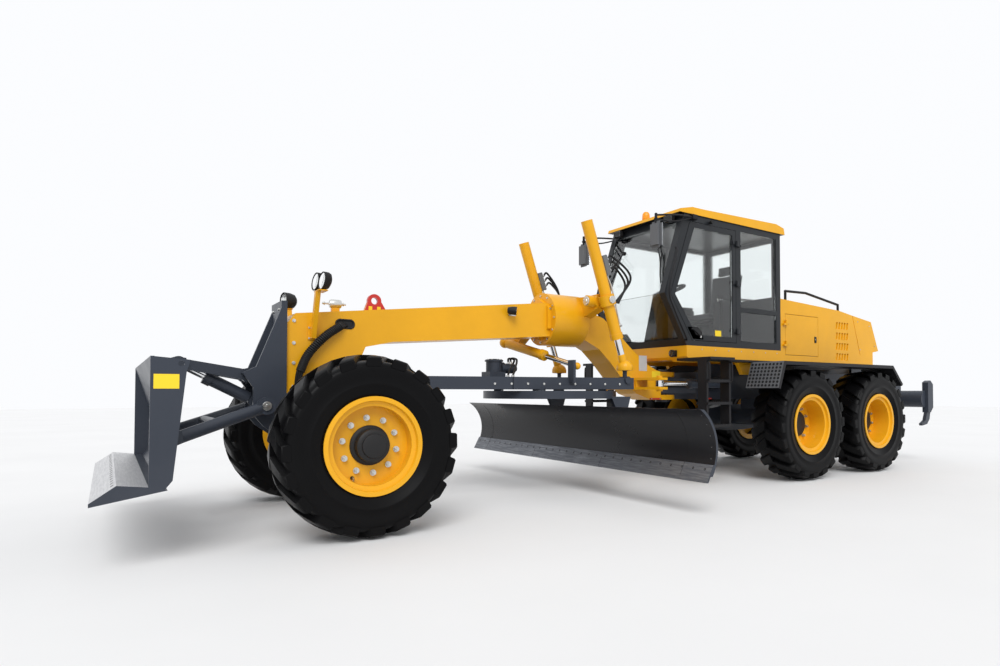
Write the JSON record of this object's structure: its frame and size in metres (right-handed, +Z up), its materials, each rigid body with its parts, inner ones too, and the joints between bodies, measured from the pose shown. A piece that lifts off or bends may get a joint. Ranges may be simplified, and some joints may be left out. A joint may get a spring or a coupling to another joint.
{
  "type": "motor grader",
  "caption": "Articulated motor grader with a long frame, cab and engine hood behind, a circle-mounted blade under the frame, a front dozer blade and a rear ripper.",
  "frame": {"origin": "on the ground under the middle of the machine's length and width", "axes": "+X to the front, +Y to the machine's left, +Z up"},
  "size_m": [10.704, 4.27, 3.4342],
  "materials": {
    "yellow_paint": "satin",
    "slate_paint": "satin",
    "black_paint": "satin",
    "tyre_rubber": "matte",
    "chrome_rod": "polished",
    "tinted_glass": "gloss",
    "seat_trim": "matte",
    "engine_iron": "matte"
  },
  "bodies": {
    "rear": {"rear_frame": "slate_paint", "engine_block": "engine_iron", "engine_hood": "yellow_paint", "fenders": "black_paint", "cab_base": "yellow_paint", "cab_frame": "black_paint", "cab_roof": "yellow_paint", "cab_glass": "tinted_glass", "cab_seat": "seat_trim", "steps_rails": "black_paint", "cab_lamps": "black_paint", "mirrors": "black_paint", "rear_axle": "slate_paint"},
    "front": {"front_frame": "yellow_paint", "lift_saddle": "yellow_paint", "front_axle": "slate_paint", "front_lamps": "black_paint", "dozer_mount": "slate_paint"},
    "cab_door_left": {"cab_door_left": "black_paint", "door_glass_left": "tinted_glass"},
    "cab_door_right": {"cab_door_right": "black_paint", "door_glass_right": "tinted_glass"},
    "hood_door_left": {"hood_door_left": "yellow_paint"},
    "hood_door_right": {"hood_door_right": "yellow_paint"},
    "knuckle_left": {"knuckle_left": "slate_paint"},
    "knuckle_right": {"knuckle_right": "slate_paint"},
    "tie_rod": {"tie_rod": "slate_paint"},
    "dozer_arms": {"dozer_arms": "slate_paint"},
    "dozer_link": {"dozer_link": "slate_paint"},
    "dozer_blade": {"dozer_blade": "slate_paint"},
    "dozer_barrel": {"dozer_barrel": "slate_paint"},
    "dozer_rod": {"dozer_rod": "chrome_rod"},
    "drawbar": {"drawbar": "slate_paint"},
    "blade_circle": {"blade_circle": "slate_paint"},
    "blade_carrier": {"blade_carrier": "slate_paint"},
    "moldboard": {"moldboard": "slate_paint"},
    "lift_barrels": {"lift_barrels": "slate_paint"},
    "lift_rods": {"lift_rods": "chrome_rod"},
    "shift_barrel": {"shift_barrel": "yellow_paint"},
    "shift_rod": {"shift_rod": "chrome_rod"},
    "artic_barrel_left": {"artic_barrel_left": "slate_paint"},
    "artic_rod_left": {"artic_rod_left": "chrome_rod"},
    "artic_barrel_right": {"artic_barrel_right": "slate_paint"},
    "artic_rod_right": {"artic_rod_right": "chrome_rod"},
    "ripper": {"ripper": "slate_paint"},
    "ripper_barrel": {"ripper_barrel": "slate_paint"},
    "ripper_rod": {"ripper_rod": "chrome_rod"},
    "wheel_front_left": {"tyre_front_left": "tyre_rubber", "rim_front_left": "yellow_paint"},
    "wheel_front_right": {"tyre_front_right": "tyre_rubber", "rim_front_right": "yellow_paint"},
    "wheel_mid_left": {"tyre_mid_left": "tyre_rubber", "rim_mid_left": "yellow_paint"},
    "wheel_mid_right": {"tyre_mid_right": "tyre_rubber", "rim_mid_right": "yellow_paint"},
    "wheel_rear_left": {"tyre_rear_left": "tyre_rubber", "rim_rear_left": "yellow_paint"},
    "wheel_rear_right": {"tyre_rear_right": "tyre_rubber", "rim_rear_right": "yellow_paint"}
  },
  "joints": [
    {"name": "articulation", "type": "hinge", "parent": "rear", "child": "front", "pos_m": [-0.492, 0, 1.15], "axis": [0, 0, 1], "range_deg": [-27, 27]},
    {"name": "steering", "type": "hinge", "parent": "front", "child": "knuckle_left", "pos_m": [3.658, 0.79, 0.685], "axis": [0, 0, 1], "range_deg": [-49, 49]},
    {"name": "steering_right", "type": "hinge", "parent": "front", "child": "knuckle_right", "pos_m": [3.658, -0.79, 0.685], "axis": [0, 0, 1], "range_deg": [-49, 49]},
    {"name": "tie_rod_turn", "type": "hinge", "parent": "knuckle_left", "child": "tie_rod", "pos_m": [3.358, 0.79, 0.575], "axis": [0, 0, 1], "range_deg": [-49, 49]},
    {"name": "roll_front_left", "type": "hinge", "parent": "knuckle_left", "child": "wheel_front_left", "pos_m": [3.658, 1.078, 0.685], "axis": [0, 1, 0], "continuous": true},
    {"name": "roll_front_right", "type": "hinge", "parent": "knuckle_right", "child": "wheel_front_right", "pos_m": [3.658, -1.078, 0.685], "axis": [0, 1, 0], "continuous": true},
    {"name": "roll_mid_left", "type": "hinge", "parent": "rear", "child": "wheel_mid_left", "pos_m": [-1.792, 1.078, 0.685], "axis": [0, 1, 0], "continuous": true},
    {"name": "roll_mid_right", "type": "hinge", "parent": "rear", "child": "wheel_mid_right", "pos_m": [-1.792, -1.078, 0.685], "axis": [0, 1, 0], "continuous": true},
    {"name": "roll_rear_left", "type": "hinge", "parent": "rear", "child": "wheel_rear_left", "pos_m": [-3.33, 1.078, 0.685], "axis": [0, 1, 0], "continuous": true},
    {"name": "roll_rear_right", "type": "hinge", "parent": "rear", "child": "wheel_rear_right", "pos_m": [-3.33, -1.078, 0.685], "axis": [0, 1, 0], "continuous": true},
    {"name": "drawbar_lift", "type": "hinge", "parent": "front", "child": "drawbar", "pos_m": [3.508, 0, 1.12], "axis": [0, 1, 0], "range_deg": [-20, 3.5]},
    {"name": "lift_swing", "type": "hinge", "parent": "front", "child": "lift_barrels", "pos_m": [0.918, 0, 2.06], "axis": [0, 1, 0], "range_deg": [-15, 3]},
    {"name": "lift_stroke", "type": "slide", "parent": "lift_barrels", "child": "lift_rods", "axis": [-0.3221, 0, -0.9467], "range_m": [-0.17, 0.96]},
    {"name": "shift_swing", "type": "hinge", "parent": "front", "child": "shift_barrel", "pos_m": [1.523, -0.5, 1.65], "axis": [0.9717, 0.2363, 0.001], "range_deg": [-33, 6]},
    {"name": "shift_stroke", "type": "slide", "parent": "shift_barrel", "child": "shift_rod", "axis": [-0.2276, 0.937, -0.265], "range_m": [-0.07, 0.37]},
    {"name": "circle_turn", "type": "hinge", "parent": "drawbar", "child": "blade_circle", "pos_m": [1.238, 0, 1.05], "axis": [0, 0, -1], "range_deg": [-38, 38]},
    {"name": "blade_pitch", "type": "hinge", "parent": "blade_circle", "child": "blade_carrier", "pos_m": [0.808, 0, 0.42], "axis": [0, 1, 0], "range_deg": [-14, 26]},
    {"name": "blade_shift", "type": "slide", "parent": "blade_carrier", "child": "moldboard", "axis": [0, 1, 0], "range_m": [-0.15, 0.6]},
    {"name": "dozer_lift", "type": "hinge", "parent": "front", "child": "dozer_arms", "pos_m": [4.218, 0, 0.97], "axis": [0, 1, 0], "range_deg": [-8, 26]},
    {"name": "dozer_tip", "type": "hinge", "parent": "dozer_arms", "child": "dozer_blade", "pos_m": [4.858, 0, 0.75], "axis": [0, 1, 0], "range_deg": [-12, 4]},
    {"name": "dozer_link_turn", "type": "hinge", "parent": "front", "child": "dozer_link", "pos_m": [4.318, 0, 1.222], "axis": [0, 1, 0], "range_deg": [-10, 32]},
    {"name": "dozer_swing", "type": "hinge", "parent": "front", "child": "dozer_barrel", "pos_m": [4.258, 0, 1.01], "axis": [0, 1, 0], "range_deg": [-8, 25]},
    {"name": "dozer_stroke", "type": "slide", "parent": "dozer_barrel", "child": "dozer_rod", "axis": [0.8815, 0, 0.4722], "range_m": [-0.1, 0.032]},
    {"name": "ripper_lift", "type": "hinge", "parent": "rear", "child": "ripper", "pos_m": [-4.042, 0, 0.95], "axis": [0, 1, 0], "range_deg": [-45, 0]},
    {"name": "ripper_swing", "type": "hinge", "parent": "rear", "child": "ripper_barrel", "pos_m": [-4.392, 0, 1.36], "axis": [0, 1, 0], "range_deg": [-49, 1]},
    {"name": "ripper_stroke", "type": "slide", "parent": "ripper_barrel", "child": "ripper_rod", "axis": [-0.9618, 0, -0.2737], "range_m": [-0.01, 0.42]},
    {"name": "artic_swing_left", "type": "hinge", "parent": "rear", "child": "artic_barrel_left", "pos_m": [-1.062, 0.5, 1.18], "axis": [0, 0, 1], "range_deg": [-13.1, 13.1]},
    {"name": "artic_stroke_left", "type": "slide", "parent": "artic_barrel_left", "child": "artic_rod_left", "axis": [1, 0, 0], "range_m": [-0.236, 0.236]},
    {"name": "cab_door_left", "type": "hinge", "parent": "rear", "child": "cab_door_left", "pos_m": [-1.152, 0.66, 2.4], "axis": [0, 0, 1], "range_deg": [0, 100]},
    {"name": "hood_door_left", "type": "hinge", "parent": "rear", "child": "hood_door_left", "pos_m": [-2.202, 0.62, 1.85], "axis": [0, 0, -1], "range_deg": [0, 95]},
    {"name": "artic_swing_right", "type": "hinge", "parent": "rear", "child": "artic_barrel_right", "pos_m": [-1.062, -0.5, 1.18], "axis": [0, 0, 1], "range_deg": [-13.1, 13.1]},
    {"name": "artic_stroke_right", "type": "slide", "parent": "artic_barrel_right", "child": "artic_rod_right", "axis": [1, 0, 0], "range_m": [-0.236, 0.236]},
    {"name": "cab_door_right", "type": "hinge", "parent": "rear", "child": "cab_door_right", "pos_m": [-1.152, -0.66, 2.4], "axis": [0, 0, -1], "range_deg": [0, 100]},
    {"name": "hood_door_right", "type": "hinge", "parent": "rear", "child": "hood_door_right", "pos_m": [-2.202, -0.62, 1.85], "axis": [0, 0, 1], "range_deg": [0, 95]}
  ],
  "couplings": [
    {"joint": "steering_right", "follows": "steering", "ratio": 1},
    {"joint": "tie_rod_turn", "follows": "steering", "ratio": -1},
    {"joint": "lift_swing", "follows": "drawbar_lift", "ratio": 0.7241},
    {"joint": "lift_stroke", "follows": "drawbar_lift", "m_per_rad": -2.7303},
    {"joint": "shift_swing", "follows": "drawbar_lift", "ratio": 1.6007},
    {"joint": "shift_stroke", "follows": "drawbar_lift", "m_per_rad": -1.0386},
    {"joint": "dozer_tip", "follows": "dozer_lift", "ratio": -0.4498},
    {"joint": "dozer_link_turn", "follows": "dozer_lift", "ratio": 1.1868},
    {"joint": "dozer_swing", "follows": "dozer_lift", "ratio": 0.9383},
    {"joint": "dozer_stroke", "follows": "dozer_lift", "m_per_rad": -0.21214},
    {"joint": "ripper_swing", "follows": "ripper_lift", "ratio": 1.0744},
    {"joint": "ripper_stroke", "follows": "ripper_lift", "m_per_rad": -0.52595},
    {"joint": "artic_swing_left", "follows": "articulation", "ratio": 0.481},
    {"joint": "artic_stroke_left", "follows": "articulation", "m_per_rad": -0.49711},
    {"joint": "artic_swing_right", "follows": "articulation", "ratio": 0.481},
    {"joint": "artic_stroke_right", "follows": "articulation", "m_per_rad": 0.49711}
  ]
}
